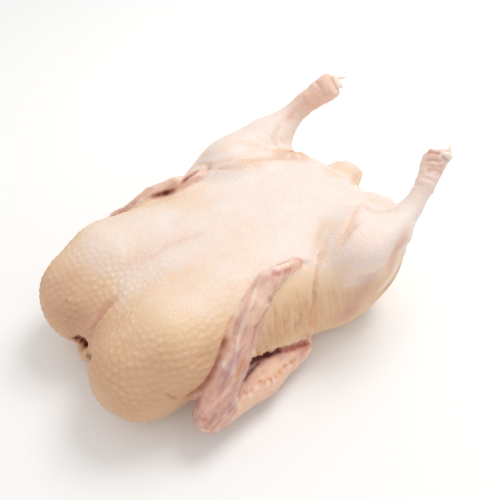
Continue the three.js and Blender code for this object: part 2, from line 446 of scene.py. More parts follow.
def press(traced, width, height, taper=0.25, uneven=0.5, **tints):
    """Lifts the skin along a line by a height, or presses it in by a negative one, and tints it."""
    near, distance, along, _ = around(traced, REACH * width)
    shape = fade_ends(along, taper) * waver(traced, along, uneven)
    surface["lift"][near] += height * np.exp(-((distance / width) ** 2)) * shape
    wide = np.exp(-((distance / (TINT_SPREAD * width)) ** 2)) * np.clip(shape, 0, 1)
    for name, amount in tints.items():
        tinge(name, amount * wide, near)


def fold(traced, width, height, taper=0.25, uneven=0.4, **tints):
    """Laps one side of a line over the other: the left side, looking along the line, is the upper one. Its
    tints are painted shade on the lower side, just under the lap.
    """
    near, distance, along, side = around(traced, REACH * width)
    shape = fade_ends(along, taper) * waver(traced, along, uneven)
    across = side * distance / width
    upper = np.exp(-((across + FOLD_LIP) ** 2))
    lower = -FOLD_DEPTH * np.exp(-2 * (across - FOLD_VALLEY) ** 2)
    surface["lift"][near] += height * shape * np.where(across < 0, upper, lower)
    shade_under_lap = np.exp(-1.5 * (across - FOLD_SHADE) ** 2) * np.clip(shape, 0, 1)
    for name, amount in tints.items():
        tinge(name, amount * shade_under_lap, near)


def spot(place, radius, height=0.0, **tints):
    """A soft swelling or dent round one place, and its tint; a negative tint is taken away."""
    middle, facing = place
    off = np.linalg.norm(points - middle, axis=1) / radius
    bell = np.exp(-(off**2)) * (surface["normals"] @ facing > ALMOST_BEHIND)
    surface["lift"] += height * bell
    for name, amount in tints.items():
        if amount < 0:
            tint[name] = np.clip(tint[name], 0, 1) * (1 + amount * bell)
        else:
            tinge(name, amount * bell)


def move_skin():
    """Moves the skin by what was pressed and lifted so far, and measures it again."""
    points[:] = points + surface["normals"] * surface["lift"][:, None]
    points[:, 2] = np.maximum(points[:, 2], 0)
    measure_surface()


print("a line fades at its ends like this:", np.round(fade_ends(np.linspace(0, 1, 5), 0.5), 2))

# %% [markdown]
# ## Both sides from one drawing
# The photo shows the near wing and thigh only. What is drawn on them is repeated on the far side: on the
# body as in a mirror, and on the wings along the bones, because the two wings are folded a little
# differently.

# %% Both sides from one drawing


def point_along(line, share):
    """The places at some shares of the length of a line."""
    starts = np.concatenate([[0], np.cumsum(np.linalg.norm(np.diff(line, axis=0), axis=1))])
    return np.stack([np.interp(share * starts[-1], starts, line[:, axis]) for axis in range(3)], axis=1)


def on_other_wing(traced, near_line, far_line):
    """The same line on the far wing, as far along its bones and as far off them."""
    share = distance_to(near_line, traced[0])[1]
    off = (traced[0] - point_along(near_line, share)) * (1, -1, 1)
    return settle(point_along(far_line, share) + off)


OTHER_SIDE = {
    "body": mirrored,
    "hand": lambda traced: on_other_wing(traced, RIGHT_HAND, LEFT_HAND),
    "forearm": lambda traced: on_other_wing(traced, RIGHT_FOREARM, LEFT_FOREARM),
}


def draw(corners, width, height, where="here", brush=press, step=TRACE_STEP, far=1.0, **settings):
    """Draws a line of the picture, on this side alone or on both, by a far share on the other side."""
    traced = trace(corners, step)
    brush(traced, width, height, **settings)
    if where in OTHER_SIDE:
        faint = {key: value * far if key in TINTS else value for key, value in settings.items()}
        brush(OTHER_SIDE[where](traced), width, height * far, **faint)


def dab(places, radius, height=0.0, where="here", **tints):
    """Draws a spot at each of some pixels."""
    for x, y in places:
        middle, facing = seen(x, y)
        spot((middle, facing), radius, height, **tints)
        if where in OTHER_SIDE:
            line, facings = OTHER_SIDE[where]((middle[None], facing[None]))
            spot((line[0], facings[0]), radius, height, **tints)


print(len(OTHER_SIDE), "ways to the other side")

# %% [markdown]
# ## Large forms of the skin
# Raw skin is loose and slides over fat. It folds where a leg or a wing is pulled up, and it hangs a
# little over the gap behind the wing. These folds are several millimetres deep, so they come first, on
# their own. The lines are corners in the photo's pixels. Before them, the far wing is pushed a few
# millimetres closer to the flank and the tail is made a little broader, as a hand would push soft skin.

# %% Lines of the large forms
KEEL = [(129, 275), (138, 262), (156, 254), (170, 244), (200, 234), (222, 228)]
CLEFT = [
    (119.5, 286), (118, 291), (115, 298), (110, 303), (101, 312), (94, 324), (90, 334), (89, 342),
]
BELLY_TO_THIGH = [(364.5, 202), (356.8, 208), (349.5, 225), (339.5, 242), (334.8, 254)]
BELLY_TO_THIGH_SECOND = [(366, 218), (355.5, 226), (343.5, 243), (338, 254)]
BELLY_TO_THIGH_THIRD = [(354, 213), (346, 231), (338, 246)]
BELLY_SIDE = [(330, 228), (326, 241), (322, 254), (317.5, 269), (315.5, 282)]
BELLY_SIDE_SECOND = [(326, 212), (319.4, 232), (315.5, 244), (312.5, 262), (309, 278)]
THIGH_FRONT = [(317, 272), (314.2, 290), (314.8, 303), (310, 315), (308, 330)]
WEB = [(360, 201), (366, 207), (373, 211.3), (390.3, 210), (401.9, 206)]
TAIL_CREASE = [(361, 171), (354.2, 180.3), (349.5, 186)]
FAR_BAND = [(266, 155), (278, 154), (290, 154.5), (300, 157.5), (309, 161.5), (316, 165)]
FLANK_EDGE = [
    (247, 360), (253, 356.5), (257.5, 355.4), (261, 352.6), (264.8, 351.8), (269.7, 352.6),
    (275.7, 346.9), (280.6, 348), (284.2, 345.5), (287.8, 346.6), (292.7, 343.3), (296.3, 343.7),
    (301.2, 339.7), (306, 340.3), (311.5, 337.2),
]
SHADOW_BESIDE_THE_HAND = [(219.5, 358), (223, 346), (226.5, 334), (230.5, 322), (237, 311)]
GAP = [(247, 366), (254, 360.5), (264.8, 356), (272, 353.5), (280, 350.5), (287, 349)]
GAP_REAR = [(279, 352), (288, 349.5), (297, 346.5), (306, 343.5), (311, 341)]
FAR_GAP = [(145, 199.5), (155, 196), (165, 193.3), (174, 190), (181, 185)]
LOBE_TO_WRIST = [(183, 399), (193, 393), (202, 387), (212, 374), (219.5, 358), (224, 345.7), (229, 330)]
LUMP_BEHIND_THIGH = [(411, 238), (406, 250)]
CLEFT_SHADE = [(96, 314), (88, 325), (104, 303), (84, 312)]
BELLY_FAT = [(341, 240), (333, 252), (347, 224), (326, 225), (337, 228), (330, 266), (322, 240)]
WING_TIP = [(305, 263.5)]
SHIFTS = [  # a line, how far round it the skin moves, and by how much
    (joints(LEFT, (-100, 107, 42), (-60, 94, 70)), 20, (0, -5.6, -4.6)),  # the far wing lies close
    (joints(LEFT, (138, 33, 63), (141, 32, 63)), 10, (-2.6, 3.6, 1.8)),  # the tail is broad
    (joints(LEFT, (158, 18, 61), (160, 18, 62)), 9, (2.6, -1.9, 0)),
]
print(len(SHIFTS), "shifts come before the folds")

# %% Large forms of the skin
for line, reach, way in SHIFTS:
    weight = np.exp(-((distance_to(line, points)[0] / reach) ** 2))
    points += weight[:, None] * way
measure_surface()
draw(CLEFT, 3.2, -4.8, step=2, taper=0.3, uneven=0.2, blush=0.4)
draw(KEEL, 4, -0.6, taper=0.3, blush=0.25)
draw(KEEL, 1.8, -0.25, taper=0.3, uneven=0.9, blush=0.4, mauve=0.08)
draw(BELLY_TO_THIGH, 1.5, -1.5, "body", taper=0.4, far=0.4, peach=0.4)
draw(BELLY_TO_THIGH_SECOND, 1.2, -1.4, "body", taper=0.4, far=0.4, peach=0.5)
draw(BELLY_TO_THIGH_THIRD, 1.4, -0.8, "body", taper=0.5, far=0.4, peach=0.3)
draw(BELLY_SIDE, 1.7, -1.0, "body", taper=0.5, cream=0.4, peach=0.35)
draw(BELLY_SIDE_SECOND, 2.0, -0.9, "body", taper=0.5, peach=0.3)
draw(THIGH_FRONT, 1.2, -1.7, peach=0.3, mauve=0.15)
draw(WEB, 2.0, -1.5, "body", peach=0.3)
draw(TAIL_CREASE, 1.8, -1.5, step=2, peach=0.4)
draw(FAR_BAND, 6, 6.5, step=2, taper=0.3, uneven=0.1)
draw(FAR_BAND, 3, 0, step=2, taper=0.2, peach=0.6)
draw(FLANK_EDGE, 2.2, 1.6, "body", fold, step=2, taper=0.08)
# The gaps behind and beside the wings are painted dark meat red, darker than the meat alone as painted
# shade in the gaps.
draw(GAP, 1.8, -1.8, "body", step=2, taper=0.15, flesh=1.1, red=0.8)
draw(GAP_REAR, 1.8, -1.2, "body", step=2, taper=0.2, flesh=0.35, red=0.95)
draw(FAR_GAP, 1.4, -2.0, step=1.5, taper=0.5, flesh=0.9, red=1)
draw(LOBE_TO_WRIST, 1.7, -2.2, "body", step=2.5, taper=0.15, flesh=0.35, red=0.6, peach=0.5)
# painted shadow: a thin warm dark line on the breast along the hand's edge
draw(SHADOW_BESIDE_THE_HAND, 1.2, -1.0, "body", step=2, peach=0.6, red=0.3)
# painted light: a warm glow of bounced light that lightens the shade in the cleft
dab(CLEFT_SHADE, 8, peach=0.15, bare=0.1)
dab(BELLY_FAT, 9, 0, "body", cream=0.5)
dab(WING_TIP, 3.5, -2.6, "hand")
dab(LUMP_BEHIND_THIGH, 6, 1.6, "body", pale=0.25)
print("the folds are up to", round(float(np.abs(surface["lift"]).max()), 1), "mm deep or high")

# %% A slow swell all over
ROLL = 0.5  # how far the skin wanders in and out
ROLL_SIZE = 26
wander = np.array([noise.noise(Vector(p) / ROLL_SIZE) for p in points])
surface["lift"] += ROLL * wander
facing_up = surface["normals"][:, 2].copy()
pimples = pimple_share(points)
move_skin()
print("the skin reaches", round(np.abs(points).max(), 1), "mm")

# %% [markdown]
# ## The wing's skin
# A wing is bone and tendon under thin skin, so it shows a white tendon along the hand, a puckered web of
# skin behind it, and a row of orange pits along the forearm, where the long quills were pulled.

# %% Lines of the wing
HAND_EDGE = [
    (203, 388), (215, 372), (221, 358), (225.4, 340), (229, 327.5), (234, 319), (243.5, 303), (252, 288),
]
TENDON = [
    (227, 392), (233.3, 367), (237, 347), (238.2, 337), (245.4, 318), (251.5, 303), (254, 293),
    (262, 277),
]
WEB_OF_THE_HAND = [
    (237, 384.5), (240.6, 376), (245.4, 366), (248.5, 356.6), (250.5, 347), (252.2, 337), (254.5, 326),
    (259.5, 321), (264, 311), (271, 301), (270, 295), (276, 290), (283, 285.5), (287, 279),
]
ORANGE_RIM = [(235.7, 382), (239.4, 370), (244, 360), (248, 355)]
PURPLE_HOLLOW = [(231, 350), (232.5, 340), (235, 328), (239, 317)]
BEHIND_THE_TENDON = [(240, 357), (243, 341), (247, 327), (254, 311), (259, 298)]
TIP = [(262, 272.5), (275, 267.5), (288, 264), (297, 262.5)]
TIP_SIDE = [(266, 275), (276, 274.5), (287, 271), (297, 265.5)]
THUMB = [(222, 368), (224.5, 363), (228, 364)]
WRIST_FOLD = [(231, 386), (228, 398), (229.5, 411), (232, 424)]
WRIST_WRINKLE = [(197, 414), (202, 419), (210, 421.5)]
WRIST_WRINKLE_LOW = [(200, 425), (208, 428), (217, 426)]
MUSCLE = [(241, 382), (247, 372.5), (254.5, 363.5), (262, 357.5)]
MUSCLE_SECOND = [(244, 384), (251, 375), (259, 366), (267, 360)]
BETWEEN_MUSCLES = [(242.5, 383), (249, 373.5), (257, 364.5), (264, 358.5)]
BARE_MEAT = [(262, 368), (271, 359), (281, 355), (291, 352.5)]
ELBOW = [(296, 345), (303, 344.5), (309.5, 342)]
ELBOW_LOW = [(299, 358), (304, 350), (308, 345)]
FOREARM_CREASE = [(245, 392), (258, 385), (270, 378.5), (283, 368.5), (295, 357)]
QUILL_PITS = [
    (232, 395.4), (236, 392), (239.4, 394.2), (244, 391.8), (246.6, 393), (251.5, 390.6), (260, 381.5),
    (264.8, 383.3), (270.9, 380.3), (275.7, 377.2), (280.6, 372.4), (285.4, 366.3), (291.5, 362.7),
    (295, 359.5),
]
PUCKERS = [(236, 399), (243, 398), (250, 396), (256, 388), (268, 384), (274, 381), (284, 371), (290, 366)]
BRUISES = [(203, 412), (205, 403), (213, 395), (210, 424), (220, 408)]
print(len(QUILL_PITS), "quill pits and", len(PUCKERS), "puckers")

# %% Colours of wings and hocks
HAND_RADII = ((0, 15.5), (0.35, 12.5), (0.6, 10), (0.75, 8.5), (1, 3.8))
FOREARM_RADII = ((0, 11.5), (0.45, 14), (1, 15))
WINGS = [  # a bone, the radii round it, the width of the tint's edge, blush and bruise
    (RIGHT_HAND, HAND_RADII, 2, 0.85, 0.6),
    (LEFT_HAND, HAND_RADII, 2, 0.85, 0.15),
    (RIGHT_FOREARM, FOREARM_RADII, 3, 0.75, 0),
    (LEFT_FOREARM, FOREARM_RADII, 3, 0.75, 0),
]
HOCK_WARMTH = ((RIGHT_HOCK, 0.35), (LEFT_HOCK, 0.8))
HOCK_REACH = (8, 38)
for line, radii, edge, blush, bruise in WINGS:
    distance, along = distance_to(line, points)
    thin = 1 - smooth(distance - np.interp(along, *zip(*radii)), 0, edge)
    tinge("blush", blush * thin)
    tinge("mauve", bruise * thin * (0.4 + 0.6 * smooth(1 - along, 0.3, 0.8)))
for line, warmth in HOCK_WARMTH:
    tinge("blush", warmth * (1 - smooth(distance_to(line, points)[0], *HOCK_REACH)))
print("the wings are blushed on", int((tint["blush"] > 0.5).sum()), "points")

# %% The wing's skin
draw(HAND_EDGE, 1.3, 0.6, "hand", step=2, blush=0.5, pale=0.3)
draw(TENDON, 1.1, 0.9, "hand", step=2, uneven=1.2, pale=0.42)
draw(WEB_OF_THE_HAND, 1.3, 1.4, "hand", fold, step=2, uneven=1.0, peach=0.45)
draw(ORANGE_RIM, 1.1, -0.6, "hand", step=1.5, peach=0.9, red=0.4)
draw(PURPLE_HOLLOW, 2.2, -0.8, "hand", mauve=0.7)
draw(BEHIND_THE_TENDON, 2.2, -0.8, "hand", mauve=0.6)
draw(TIP, 1.8, 0.5, "hand", pale=0.7)
draw(TIP_SIDE, 1.6, -0.6, "hand", mauve=0.6, red=0.45)
draw(THUMB, 1.3, 0.9, "hand", step=1.5, pale=0.5)
draw(WRIST_FOLD, 1.3, -0.6, "hand", step=2, blush=0.8, mauve=0.3)
draw(WRIST_WRINKLE, 1.0, -0.6, "hand", step=1.5, red=0.4)
draw(WRIST_WRINKLE_LOW, 1.0, -0.5, "hand", step=1.5, red=0.3)
draw(BARE_MEAT, 2.8, 0.3, "body", mauve=0.55)
draw(MUSCLE, 1.2, 0.8, "body", step=2, taper=0.1, mauve=1)
draw(MUSCLE_SECOND, 1.2, 0.8, "body", step=2, taper=0.1, mauve=1)
# The line between the muscles is painted dark meat red, partly meat and partly painted shade in the line.
draw(BETWEEN_MUSCLES, 0.7, -0.5, "body", step=2, flesh=1)
draw(ELBOW, 2.2, -0.8, "body", step=2, red=0.75)
draw(ELBOW_LOW, 1.8, -0.4, "body", step=2, red=0.45)
draw(FOREARM_CREASE, 1.3, -0.7, "forearm", step=2, uneven=1.2, peach=0.35)
dab(QUILL_PITS, 1.3, -1.1, "forearm", peach=1, red=0.4)
dab(PUCKERS, 1.8, 0.6, "forearm", pale=0.5)
dab(BRUISES, 5.5, 0, "hand", mauve=0.5, red=0.12)
print("pits and folds on both wings")

# %% Wrinkles of wings, hocks and tail
HOCK_RADII = ((0, 14), (1, 14))
TAIL_RADII = ((0, 26), (1, 17))
LENGTHWISE = 0.7  # how much a wrinkle is drawn out along its limb
CROSSWISE = 0.65  # or across it


def wrinkle(line, radii, amount, size, lengthwise, colour=None, stain=0.5):
    """Wrinkles the skin of a limb, lengthwise or across it."""
    distance, along = distance_to(line, points)
    near = np.flatnonzero(distance < np.interp(along, *zip(*radii)) + 2)
    way = (line[-1] - line[0]) / np.linalg.norm(line[-1] - line[0])
    ahead = (points[near] @ way)[:, None] * way
    stretched = (1 - CROSSWISE) * points[near] + CROSSWISE * ahead
    if lengthwise:
        stretched = points[near] - LENGTHWISE * ahead
    rough = np.array([noise.noise(Vector(p) / size) for p in stretched])
    surface["lift"][near] += amount * rough
    if colour:
        tint[colour][near] = np.clip(tint[colour][near] + stain * rough, 0, 1)


for line, radii, *_ in WINGS:
    wrinkle(line, radii, 0.45, 2.6, True, "mauve")
    wrinkle(line, radii, 0.5, 7.0, True, "mauve", 0.6)
    wrinkle(line, radii, 0.0, 5.0, False, "pale", 0.3)
for line in (RIGHT_HOCK, LEFT_HOCK):
    wrinkle(line, HOCK_RADII, 0.8, 3.2, False, "red", 0.12)
wrinkle(TAIL, TAIL_RADII, 0.9, 5.0, False)
print("hands, forearms, hocks and tail are wrinkled")

# %% Fine pleats of the flanks
PLEAT_ZONE = joints(RIGHT, (-52, 95, 44), (5, 92, 50), (30, 87, 52))
PLEAT_REACH = 16
PLEAT_SIZE = np.array((2.3, 26, 26))  # a pleat is narrow along the duck and long up its side
PLEAT_HEIGHT = 1.8
PLEAT_LEAN = 0.12
FLANK_MIDDLE = 50
FLANKS = [((1, 1, 1), RIGHT_HAND, RIGHT_FOREARM), ((1, -1, 1), LEFT_HAND, LEFT_FOREARM)]
for mirror, hand, forearm in FLANKS:
    zone = (PLEAT_ZONE + CAD_SHIFT) * mirror - CAD_SHIFT
    distance, _ = distance_to(zone, points)
    near = np.flatnonzero(distance < 2 * PLEAT_REACH)
    leaning = points[near] + np.outer(PLEAT_LEAN * (points[near, 2] - FLANK_MIDDLE), (1, 0, 0))
    rough = np.array([noise.noise(Vector(p / PLEAT_SIZE)) for p in leaning])
    weight = 1 - smooth(distance[near], 0.8 * PLEAT_REACH, 1.8 * PLEAT_REACH)
    weight *= smooth(distance_to(hand, points[near])[0], 10, 14)
    weight *= smooth(distance_to(forearm, points[near])[0], 15, 20)
    surface["lift"][near] += PLEAT_HEIGHT * rough * weight
    tinge("peach", np.clip(-rough, 0, 1) * weight, near)
print(len(near), "points of the far flank are pleated")

# %% [markdown]
# ## Pleats, creases and cut ends
# Behind the wing the flank's skin is gathered into pleats that run up from its edge. The thigh has the
# soft ridges of its muscles, and the hock's skin is wrinkled where the foot was cut off.

# %% Lines of pleats, creases and cut ends
PLEATS = [
    [(264, 329), (262, 341), (259, 352)],
    [(266, 322), (269, 331), (273, 344)],
    [(273, 300), (275.5, 322), (278, 343)],
    [(280.6, 301), (284, 322), (286.5, 341)],
    [(287, 291), (289, 315), (290.5, 340)],
    [(291, 284), (294.5, 310), (296.5, 339)],
    [(299, 288), (301, 312), (301.5, 334)],
    [(306, 296), (307, 318), (306, 335)],
    [(321, 240), (318, 262), (314.5, 286), (314.8, 303)],
    [(283.5, 297), (286.5, 318), (288.5, 340)],
    [(295, 284), (298, 308), (299, 336)],
    [(303, 290), (304.5, 315), (304, 334)],
    [(276, 318), (279.5, 330), (282, 344)],
    [(311, 300), (310.5, 318), (309.5, 333)],
]
MUSCLE_RIDGE = [(380, 225), (382, 234), (383, 243)]
MUSCLE_RIDGE_SECOND = [(373, 228), (374, 239), (372, 248)]
THIGH_EDGE = [(411, 221), (404, 240), (394, 254), (389, 271), (383, 283)]
SKIN_EDGE = [(398, 258), (394, 271), (387, 281.5), (376, 294)]
SKIN_EDGE_OUTER = [(401.5, 260), (397.5, 273), (390.5, 283.5), (379.5, 296.5)]
LIT_CHEEK = [(112, 302), (120, 294), (132, 290), (146, 292)]
THIGH_BRUISE = [(373, 270), (367, 283), (359, 296), (351, 307), (344, 317)]
BARE_THIGH = [(374, 236), (368, 255), (364, 275), (361, 290)]
CLEFT_BAND = [(109, 304), (99.5, 313), (92, 325), (87.5, 335)]
NEAR_HOCK_1 = [(426, 153.2), (433, 152.7), (440.6, 154.5)]
NEAR_HOCK_2 = [(425, 161), (433, 159.7), (442, 162.3)]
NEAR_HOCK_3 = [(426, 170), (434, 170.5), (443, 172.6)]
NEAR_HOCK_4 = [(442, 155), (445, 159), (449, 160.5)]
NEAR_HOCK_5 = [(429, 165), (437, 166.5), (447, 166)]
FAR_HOCK_1 = [(313.9, 80), (319, 86), (323, 93), (326, 96.5)]
FAR_HOCK_2 = [(319, 76), (325, 82), (330, 90)]
FAR_SHANK_HOLLOW_AND_SHADE = [(284, 126), (291, 116), (299, 108), (313.9, 101.5)]
FAR_BELLY_EDGE = [
    (226, 164.5), (244, 162.5), (266, 159.5), (281, 158.5), (296, 159.5), (307, 163), (315, 168),
]
FAR_FOLD_1 = [(254.2, 136.3), (265.8, 141.3), (273, 147)]
FAR_FOLD_2 = [(274, 136), (281, 140.5), (287.4, 145.5)]
FAR_THIN_GAP = [(179.6, 185.2), (186.2, 179.4), (192.9, 174.4), (200, 171.5)]
FAR_WING_RIDGE = [(176, 187), (183, 180), (192, 173), (199, 167.5)]
LOBE_NICK = [(165, 392), (170.3, 395.8), (178, 400)]
FAR_LOBE_NICK = [(65, 300.4), (67, 300.9)]
LOBE_CREASE = [(188, 362.6), (200, 357.5), (210, 352)]
NECK_LIP = [(72, 334), (80, 337), (88.5, 340.5)]
NECK_HOLE = [(73.5, 335.5), (80, 339.5), (85, 342.5), (89, 345)]
NECK_HOLE_LOW = [(84.5, 356), (89, 357), (92.5, 358)]
NECK_FLAP = [(86.5, 360), (88.5, 372), (92, 386)]
CLEFT_FOLD = [(107, 309), (100, 320), (94.5, 333)]
PINK_PATCH = [(139, 258), (148, 255)]
THIGH_SHADE = [(360, 252), (365, 262)]
THIGH_UNDER_SHADE = [(349, 311)]
TAIL_FAT = [(334, 173), (340, 168), (350, 172)]
WEB_FAT = [(375, 201), (387, 206)]
HOCK_LIGHT = [(434, 157), (440, 162), (430, 166)]
HOCK_SIDE = [(449, 157.5)]
FAR_LOBE_TOP = [(100, 262), (118, 250)]
FAR_LOBE_LOW_SHADE = [(66, 312), (78, 318)]
FAR_LOBE_SIDE_SHADE = [(70, 280), (62, 289)]
FAR_THIGH_TOP = [(240, 145)]
ORANGE_PATCH = [(359, 207), (353, 214)]
FAR_BRUISE = [(207, 156)]
HOCK_KNOBS = [(428.5, 152.5), (432, 150.8)]
NECK_FAT = [(79, 340), (83, 343)]
print(len(PLEATS), "pleats on each flank")

# %% Pleats and creases
for pleat in PLEATS:
    draw(pleat, 0.9, -1.1, "body", uneven=0.8, peach=0.45)
draw(MUSCLE_RIDGE, 1.8, -0.3, "body", peach=0.15)
draw(MUSCLE_RIDGE_SECOND, 1.8, -0.25, "body", peach=0.1)
draw(THIGH_EDGE, 3.6, -0.4, "body", taper=0.4, far=0.3, blush=0.9, peach=0.2, mauve=0.3)
draw(SKIN_EDGE, 1.9, 1.0, step=2, pale=0.9)
draw(SKIN_EDGE_OUTER, 1.7, -1.0, step=2, mauve=0.9)
draw(BARE_THIGH, 13, 0, "body", bare=0.75)
# painted highlight: cream and tan taken away along the lit cheek of the near lobe
draw(LIT_CHEEK, 11, 0, bare=0.4)
print("the flanks and thighs are creased")

# %% Hocks, far side and neck
draw(NEAR_HOCK_1, 1.2, -1.3, step=1.5, taper=0.1, peach=0.4, red=0.4)
draw(NEAR_HOCK_2, 1.2, -1.1, step=1.5, taper=0.1, red=0.35)
draw(NEAR_HOCK_4, 0.9, -0.8, step=1.5, taper=0.1, mauve=0.6)
draw(NEAR_HOCK_5, 1.0, -0.7, step=1.5, red=0.3)
dab(HOCK_KNOBS, 3, 1.3)
draw(NEAR_HOCK_3, 1.4, -0.9, step=1.5, taper=0.1, red=0.3)
draw(FAR_HOCK_1, 1.2, -1.1, step=1.5, taper=0.1, blush=0.8)
draw(FAR_HOCK_2, 1.0, -0.5, step=1.5, taper=0.1, blush=0.6)
# a pressed hollow low on the far shank, tinted with the shank's own blush and with painted shade along its
# lower side
draw(FAR_SHANK_HOLLOW_AND_SHADE, 3.0, -0.8, step=2, blush=0.95)
draw(FAR_BELLY_EDGE, 1.8, -1.1, step=2, taper=0.3, peach=0.45)
draw(FAR_FOLD_1, 1.0, -0.7, step=2, peach=0.25)
draw(FAR_FOLD_2, 1.0, -0.7, step=2, peach=0.25)
# The thin gap under the far wing is painted dark meat red, partly as painted shade in it.
draw(FAR_THIN_GAP, 1.1, -1.2, step=1.5, red=0.8, flesh=0.5)
draw(FAR_WING_RIDGE, 1.4, 0.9, step=1.5, blush=0.5)
# The nicks of the lobes are tinted dark, partly as painted shade in them.
draw(LOBE_NICK, 0.8, -0.8, step=1.5, mauve=0.4, flesh=0.25)
draw(FAR_LOBE_NICK, 0.8, -0.7, step=1.5, taper=0, mauve=0.4, flesh=0.2)
draw(LOBE_CREASE, 1.4, -0.5, peach=0.25)
draw(NECK_LIP, 1.4, 0.8, step=1.5, pale=0.2)
# The neck's opening is a shallow pit, painted dark meat red and darker still as the painted shade of a
# deeper hole.
draw(NECK_HOLE, 1.7, -1.6, step=1.5, taper=0.15, flesh=1.2, red=1)
draw(NECK_HOLE_LOW, 1.6, -1.0, step=1.5, taper=0.1, flesh=0.7, red=0.8)
draw(NECK_FLAP, 3.0, 0.3, step=2, blush=0.5, mauve=0.4)
draw(CLEFT_BAND, 1.7, 0.3, step=2, blush=1, mauve=0.35)
draw(CLEFT_FOLD, 1.3, 0.8, step=1.5, blush=0.4)
print("the hocks, the far side and the neck are drawn")

# %% Patches of colour
dab(PINK_PATCH, 8, blush=0.3)
draw(THIGH_BRUISE, 8, 0, "body", taper=0.15, uneven=0.3, mauve=0.5)
dab(THIGH_SHADE, 16, 0, "body", blush=0.3)
# painted shade: the underside of the thigh darkened with mauve and warmed with peach
dab(THIGH_UNDER_SHADE, 11, 0, "body", peach=0.3, mauve=0.85)
dab(TAIL_FAT, 11, cream=0.75)
dab(WEB_FAT, 9, 0, "body", cream=0.5)
# painted light: the near hock made paler where the lamp doesn't reach it; the pink is its own colour
dab(HOCK_LIGHT, 6, pale=0.3, blush=0.8)
dab(HOCK_SIDE, 3.6, 1.8, pale=0.3)
dab(FAR_LOBE_TOP, 15, bare=0.2)
# painted shade: the far lobe's lower and outer sides darkened with mauve
dab(FAR_LOBE_LOW_SHADE, 15, mauve=0.25)
dab(FAR_LOBE_SIDE_SHADE, 15, mauve=0.35, peach=0.1)
dab(FAR_THIGH_TOP, 12, bare=0.5)
dab(ORANGE_PATCH, 4, 0, "body", peach=0.3)
dab(FAR_BRUISE, 9, mauve=0.25)
dab(NECK_FAT, 1.3, 1.2, peach=1, flesh=-0.9, red=-0.6)
move_skin()
print("the skin now reaches up to", round(float(points[:, 2].max()), 1), "mm")

# %% [markdown]
# ## Pimples
# Every feather leaves a small mound where it was pulled. They stand evenly, some five or six millimetres
# apart, because each feather kept its neighbours off. So points are scattered on the skin and then push
# each other away until they lie evenly, and each lifts a small mound round itself.

# %% Roots of the feathers
APART = 5.2
ROUNDS = 26
FEELS = 1.3 * APART  # how far a root feels its neighbours
PUSH = 0.12
LEAST_APART = 0.74 * APART
BOX = 0.9 * APART
SHAKE = 0.5
LEAST_SHARE = 0.05
SEED = 7
random_order = np.random.default_rng(SEED)
where_pimpled = np.flatnonzero(pimples > LEAST_SHARE)
pimpled = points[where_pimpled]
_, first = np.unique(np.floor(pimpled / BOX).astype(int), axis=0, return_index=True)
roots = pimpled[first] + random_order.normal(0, SHAKE, (len(first), 3))


def search_tree(places):
    """A tree that finds which of some places are near another."""
    tree = KDTree(len(places))
    for number, place in enumerate(places):
        tree.insert(place, number)
    tree.balance()
    return tree


def spread(places, rounds):
    """Pushes places on the skin away from each other until they lie evenly."""
    for _ in range(rounds):
        near_tree = search_tree(places)
        moved = []
        for place in places:
            push = np.zeros(3)
            for other, _, gap in near_tree.find_range(place, FEELS):
                if gap > 1e-6:
                    push += (place - np.array(other)) / gap * (FEELS - gap) * PUSH
            hit = surface["tree"].find_nearest(Vector(place + push))
            moved.append(hit[0])
        places = np.array(moved)
    return places


def thinned(places, least):
    """Leaves out the places that lie too close to one before them."""
    kept = []
    grid = {}
    for place in places:
        key = tuple(np.floor(place / least).astype(int))
        beside = [tuple(np.add(key, step)) for step in itertools.product((-1, 0, 1), repeat=3)]
        close = [grid[cell] for cell in beside if cell in grid]
        if all(np.linalg.norm(place - other) >= least for other in close):
            kept.append(place)
            grid[key] = place
    return np.array(kept)


roots = spread(thinned(roots, LEAST_APART), ROUNDS)
print(len(roots), "roots")

# %% A mound on every root
MOUND = 2.0
MOUND_HEIGHT = 1.0
LENGTHEN = 0.68  # the mounds are longer than wide, along the duck
VIGOUR = (0.5, 1.1)
SHADE_BELOW_SIZE = 1.3  # the painted shade on a mound's lower side: its size, and how far it lies below its root
BELOW = 1.7
CLEAR_SIZE = 19  # here and there the pimples stand out more
SHADED = (30, 70)  # and low on the breast they are tinted more
root_tree = search_tree(roots * (LENGTHEN, 1, 1))
vigour = random_order.uniform(*VIGOUR, len(roots))
DOWNHILL = np.array((-0.35, 0, -0.94))  # the way down the skin: each mound gets a painted shade on its lower side
for index in where_pimpled:
    _, nearest, gap = root_tree.find(points[index] * (LENGTHEN, 1, 1))
    clear = pimples[index] * (0.85 + 0.5 * noise.noise(Vector(points[index]) / CLEAR_SIZE))
    mound = np.exp(-((gap / MOUND) ** 2)) * vigour[nearest] * clear
    surface["lift"][index] += MOUND_HEIGHT * mound
    below = points[index] - roots[nearest] - BELOW * DOWNHILL
    painted_shade_below = np.exp(-(below @ below) / SHADE_BELOW_SIZE**2) * vigour[nearest] * clear
    shaded = 1.4 - 0.4 * smooth(points[index, 2], *SHADED)
    # The pimple tint: a tan ground between the pimples, lighter on each mound, partly its own colour and
    # partly a painted highlight, and a painted shade below each mound.
    tint["pimples"][index] = (0.5 * clear - 0.75 * mound + 0.95 * painted_shade_below) * shaded
move_skin()
print("mounds up to", MOUND_HEIGHT * VIGOUR[1], "mm high")

# %% [markdown]
# ## Fat under the skin
# Duck skin is white where it lies thin over meat and cream to tan where fat is thick, on the sides and
# the front of the breast. A picture could be laid over it, but a rule travels better: the tint follows
# how high a place is and how far it faces up, with soft clouds of noise, and thigh, tail and keel count
# as higher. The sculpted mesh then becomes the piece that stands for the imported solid, with its tints as
# attributes.

